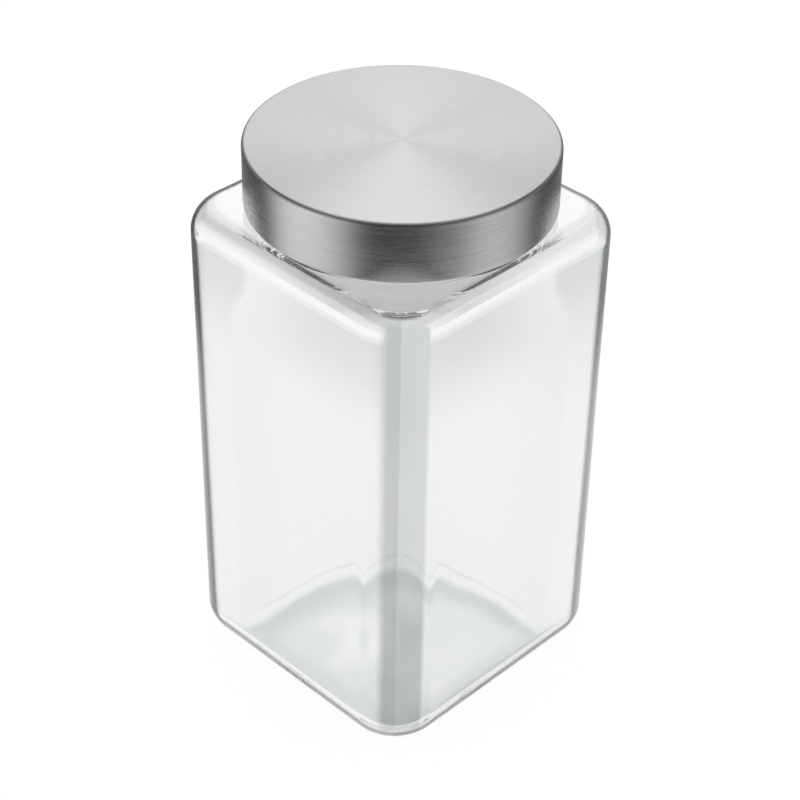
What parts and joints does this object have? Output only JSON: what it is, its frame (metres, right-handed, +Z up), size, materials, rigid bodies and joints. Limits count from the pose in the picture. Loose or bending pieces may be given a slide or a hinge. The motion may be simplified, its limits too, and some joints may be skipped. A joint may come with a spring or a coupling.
{
  "type": "lidded glass canister",
  "caption": "Square clear-glass storage canister with rounded corners and a round screw-on lid of brushed steel.",
  "frame": {"origin": "middle of the base, on the surface that the canister stands on", "axes": "+Z up, along the axis of the neck and lid; +X and +Y square to the flat sides"},
  "size_m": [0.114, 0.114, 0.2141],
  "materials": {
    "clear_glass": "clear, polished",
    "brushed_steel": "spun brushing on the top, brushed round the side",
    "white_plastic": "satin",
    "seal_foam": "matt"
  },
  "bodies": {
    "jar": {"glass_jar": "clear_glass"},
    "seal": {"lid_seal": "seal_foam"},
    "lid": {"lid_cover": "brushed_steel", "lid_thread_insert": "white_plastic"}
  },
  "joints": [
    {"name": "lid_rise", "type": "slide", "parent": "jar", "child": "seal", "axis": [0, 0, 1], "range_m": [0, 0.0211]},
    {"name": "lid_turn", "type": "hinge", "parent": "seal", "child": "lid", "pos_m": [0, 0, 0.2], "axis": [0, 0, 1], "range_deg": [0, 1260]}
  ],
  "couplings": [
    {"joint": "lid_rise", "follows": "lid_turn", "m_per_rad": 0.00095493}
  ]
}
